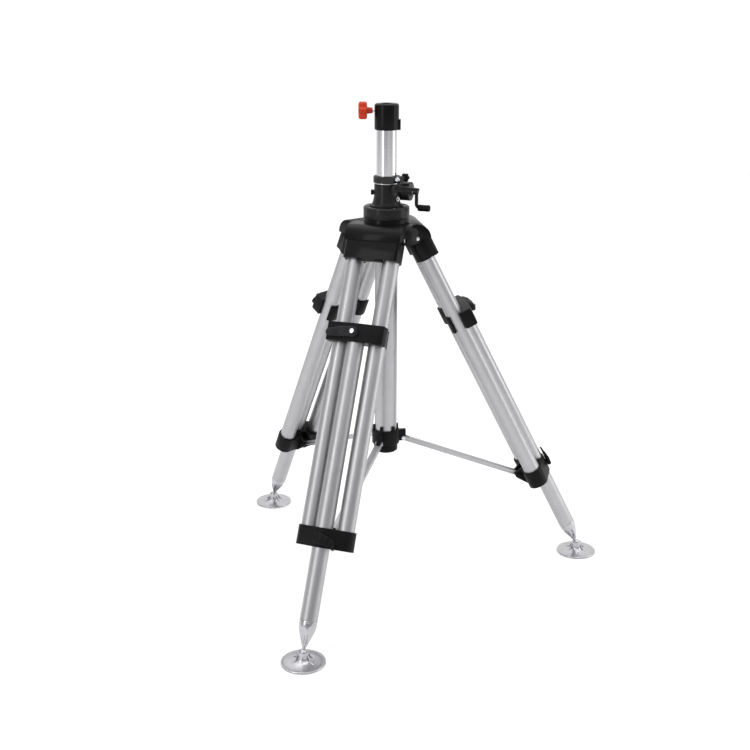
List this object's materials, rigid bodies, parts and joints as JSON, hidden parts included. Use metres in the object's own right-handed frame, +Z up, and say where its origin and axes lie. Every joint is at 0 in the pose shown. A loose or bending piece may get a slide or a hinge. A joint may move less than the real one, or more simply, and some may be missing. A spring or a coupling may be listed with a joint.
{
  "type": "elevating laser tripod",
  "caption": "Elevating tripod for a laser level: folding twin-tube legs with sliding centre tubes and swivel foot plates, a hub-and-strut spreader, and a cranked column with a clamp socket.",
  "frame": {"origin": "on the lift column's axis at floor level, where the foot plates stand", "axes": "+Z up along the lift column, -Y towards the front leg, +X to the right of it"},
  "size_m": [0.9832, 0.865, 1.1725],
  "materials": {
    "gloss_black": "gloss black enamel on cast aluminium",
    "moulded_black": "fine-textured black moulded nylon",
    "dark_casting": "satin dark grey powder coat on cast aluminium",
    "satin_tube": "satin anodised, drawn lengthwise",
    "bright_tube": "bright polished and clear anodised",
    "foot_metal": "polished cast aluminium",
    "steel": "zinc plated",
    "brass": "machined",
    "grey_lever": "dark grey glass-filled nylon",
    "orange_knob": "translucent-looking moulded orange-red"
  },
  "bodies": {
    "head": {"head_casting": "gloss_black", "head_flange": "dark_casting", "flange_screws": "steel", "hinge_pins": "steel", "guide_tube": "satin_tube", "guide_tube_end_cap": "moulded_black", "column_bushes": "steel", "gear_housing": "dark_casting", "gear_case_cover": "dark_casting", "column_collar": "dark_casting"},
    "column": {"lift_column": "bright_tube", "column_rack": "steel", "instrument_socket": "gloss_black"},
    "socket_pad": {"socket_clamp_pad": "brass"},
    "socket_knob": {"socket_clamp_screw": "steel", "socket_clamp_knob": "orange_knob"},
    "crank": {"pinion_shaft": "steel", "crank_arm": "dark_casting"},
    "grip": {"crank_grip": "moulded_black"},
    "brake_lever": {"brake_lever": "dark_casting"},
    "brake_pad": {"brake_pad": "brass"},
    "collar_knob": {"collar_knob": "moulded_black"},
    "friction_knob": {"friction_knob": "moulded_black"},
    "hub": {"spreader_hub": "moulded_black"},
    "front_leg": {"front_yoke": "gloss_black", "front_outer_tubes": "satin_tube", "front_lower_bracket": "moulded_black"},
    "front_extension": {"front_inner_tube": "satin_tube", "front_slide_bracket": "moulded_black", "front_lever_screw": "steel", "front_foot_tip": "foot_metal"},
    "front_slide_lever": {"front_slide_lever": "grey_lever"},
    "front_lower_lever": {"front_lower_lever": "moulded_black"},
    "front_foot": {"front_foot_plate": "foot_metal"},
    "front_strut": {"front_strut": "satin_tube", "front_strut_pin": "steel"},
    "right_leg": {"right_yoke": "gloss_black", "right_outer_tubes": "satin_tube", "right_lower_bracket": "moulded_black"},
    "right_extension": {"right_inner_tube": "satin_tube", "right_slide_bracket": "moulded_black", "right_lever_screw": "steel", "right_foot_tip": "foot_metal"},
    "right_slide_lever": {"right_slide_lever": "grey_lever"},
    "right_lower_lever": {"right_lower_lever": "moulded_black"},
    "right_foot": {"right_foot_plate": "foot_metal"},
    "right_strut": {"right_strut": "satin_tube", "right_strut_pin": "steel"},
    "left_leg": {"left_yoke": "gloss_black", "left_outer_tubes": "satin_tube", "left_lower_bracket": "moulded_black"},
    "left_extension": {"left_inner_tube": "satin_tube", "left_slide_bracket": "moulded_black", "left_lever_screw": "steel", "left_foot_tip": "foot_metal"},
    "left_slide_lever": {"left_slide_lever": "grey_lever"},
    "left_lower_lever": {"left_lower_lever": "moulded_black"},
    "left_foot": {"left_foot_plate": "foot_metal"},
    "left_strut": {"left_strut": "satin_tube", "left_strut_pin": "steel"}
  },
  "joints": [
    {"name": "column_lift", "type": "slide", "parent": "head", "child": "column", "axis": [0, 0, 1], "range_m": [-0.104, 0.35]},
    {"name": "crank_turn", "type": "hinge", "parent": "head", "child": "crank", "pos_m": [0.05, 0.031, 0.962], "axis": [-1, 0, 0], "range_deg": [-680, 2260]},
    {"name": "crank_grip_spin", "type": "hinge", "parent": "crank", "child": "grip", "pos_m": [0.08, 0.031, 0.924], "axis": [1, 0, 0], "continuous": true},
    {"name": "socket_knob_turn", "type": "hinge", "parent": "socket_pad", "child": "socket_knob", "pos_m": [-0.03759, -0.01368, 1.151], "axis": [0.9397, 0.342, 0], "range_deg": [0, 540]},
    {"name": "socket_pad_slide", "type": "slide", "parent": "column", "child": "socket_pad", "axis": [0.9397, 0.342, 0], "range_m": [0, 0.00222]},
    {"name": "brake_lever_turn", "type": "hinge", "parent": "head", "child": "brake_lever", "pos_m": [0.03, -0.02, 0.975], "axis": [0, -1, 0], "range_deg": [-40, 0]},
    {"name": "brake_pad_slide", "type": "slide", "parent": "head", "child": "brake_pad", "axis": [0.866, -0.5, 0], "range_m": [0, 0.0006]},
    {"name": "collar_knob_turn", "type": "hinge", "parent": "head", "child": "collar_knob", "pos_m": [0.03545, -0.00625, 0.9955], "axis": [0.1736, 0.9848, 0], "range_deg": [-360, 0]},
    {"name": "friction_knob_turn", "type": "hinge", "parent": "head", "child": "friction_knob", "pos_m": [-0.03174, -0.01218, 0.962], "axis": [-0.9336, -0.3584, 0], "range_deg": [-360, 360]},
    {"name": "hub_slide", "type": "slide", "parent": "head", "child": "hub", "axis": [0, 0, 1], "range_m": [0, 0.14574]},
    {"name": "front_leg_fold", "type": "hinge", "parent": "head", "child": "front_leg", "pos_m": [0, -0.062, 0.862], "axis": [1, 0, 0], "range_deg": [0, 24]},
    {"name": "front_leg_extend", "type": "slide", "parent": "front_leg", "child": "front_extension", "axis": [0, -0.4509, -0.8926], "range_m": [-0.14, 0.38]},
    {"name": "front_slide_lever_turn", "type": "hinge", "parent": "front_extension", "child": "front_slide_lever", "pos_m": [0, -0.21213, 0.6768], "axis": [0, -0.8926, 0.4509], "range_deg": [-80, 0]},
    {"name": "front_lower_lever_turn", "type": "hinge", "parent": "front_leg", "child": "front_lower_lever", "pos_m": [0, -0.42224, 0.26085], "axis": [0, -0.8926, 0.4509], "range_deg": [-80, 0]},
    {"name": "front_foot_tilt", "type": "hinge", "parent": "front_extension", "child": "front_foot", "pos_m": [0, -0.50995, 0.024], "axis": [1, 0, 0], "range_deg": [-60, 8]},
    {"name": "front_strut_swing", "type": "hinge", "parent": "hub", "child": "front_strut", "pos_m": [0, -0.044, 0.346], "axis": [1, 0, 0], "range_deg": [0, 65.7]},
    {"name": "right_leg_fold", "type": "hinge", "parent": "head", "child": "right_leg", "pos_m": [0.05369, 0.031, 0.862], "axis": [-0.5, 0.866, 0], "range_deg": [0, 24]},
    {"name": "right_leg_extend", "type": "slide", "parent": "right_leg", "child": "right_extension", "axis": [0.3905, 0.2254, -0.8926], "range_m": [-0.14, 0.38]},
    {"name": "right_slide_lever_turn", "type": "hinge", "parent": "right_extension", "child": "right_slide_lever", "pos_m": [0.18371, 0.10607, 0.6768], "axis": [0.773, 0.4463, 0.4509], "range_deg": [0, 80]},
    {"name": "right_lower_lever_turn", "type": "hinge", "parent": "right_leg", "child": "right_lower_lever", "pos_m": [0.36567, 0.21112, 0.26085], "axis": [0.773, 0.4463, 0.4509], "range_deg": [-80, 0]},
    {"name": "right_foot_tilt", "type": "hinge", "parent": "right_extension", "child": "right_foot", "pos_m": [0.44163, 0.25498, 0.024], "axis": [-0.5, 0.866, 0], "range_deg": [-60, 8]},
    {"name": "right_strut_swing", "type": "hinge", "parent": "hub", "child": "right_strut", "pos_m": [0.0381, 0.022, 0.346], "axis": [-0.5, 0.866, 0], "range_deg": [0, 65.7]},
    {"name": "left_leg_fold", "type": "hinge", "parent": "head", "child": "left_leg", "pos_m": [-0.05369, 0.031, 0.862], "axis": [-0.5, -0.866, 0], "range_deg": [0, 24]},
    {"name": "left_leg_extend", "type": "slide", "parent": "left_leg", "child": "left_extension", "axis": [-0.3905, 0.2254, -0.8926], "range_m": [-0.14, 0.38]},
    {"name": "left_slide_lever_turn", "type": "hinge", "parent": "left_extension", "child": "left_slide_lever", "pos_m": [-0.18371, 0.10607, 0.6768], "axis": [-0.773, 0.4463, 0.4509], "range_deg": [0, 80]},
    {"name": "left_lower_lever_turn", "type": "hinge", "parent": "left_leg", "child": "left_lower_lever", "pos_m": [-0.36567, 0.21112, 0.26085], "axis": [-0.773, 0.4463, 0.4509], "range_deg": [-80, 0]},
    {"name": "left_foot_tilt", "type": "hinge", "parent": "left_extension", "child": "left_foot", "pos_m": [-0.44163, 0.25498, 0.024], "axis": [-0.5, -0.866, 0], "range_deg": [-60, 8]},
    {"name": "left_strut_swing", "type": "hinge", "parent": "hub", "child": "left_strut", "pos_m": [-0.0381, 0.022, 0.346], "axis": [-0.5, -0.866, 0], "range_deg": [0, 65.7]}
  ],
  "couplings": [
    {"joint": "crank_turn", "follows": "column_lift", "rad_per_m": 111.11},
    {"joint": "socket_knob_turn", "follows": "socket_pad_slide", "rad_per_m": 4188.8},
    {"joint": "brake_pad_slide", "follows": "brake_lever_turn", "m_per_rad": -0.00078782},
    {"joint": "hub_slide", "follows": "front_leg_fold", "m_per_rad": 0.34745},
    {"joint": "right_leg_fold", "follows": "front_leg_fold", "ratio": 1},
    {"joint": "left_leg_fold", "follows": "front_leg_fold", "ratio": 1},
    {"joint": "front_strut_swing", "follows": "front_leg_fold", "ratio": 2.7373},
    {"joint": "right_strut_swing", "follows": "front_leg_fold", "ratio": 2.7373},
    {"joint": "left_strut_swing", "follows": "front_leg_fold", "ratio": 2.7373}
  ]
}
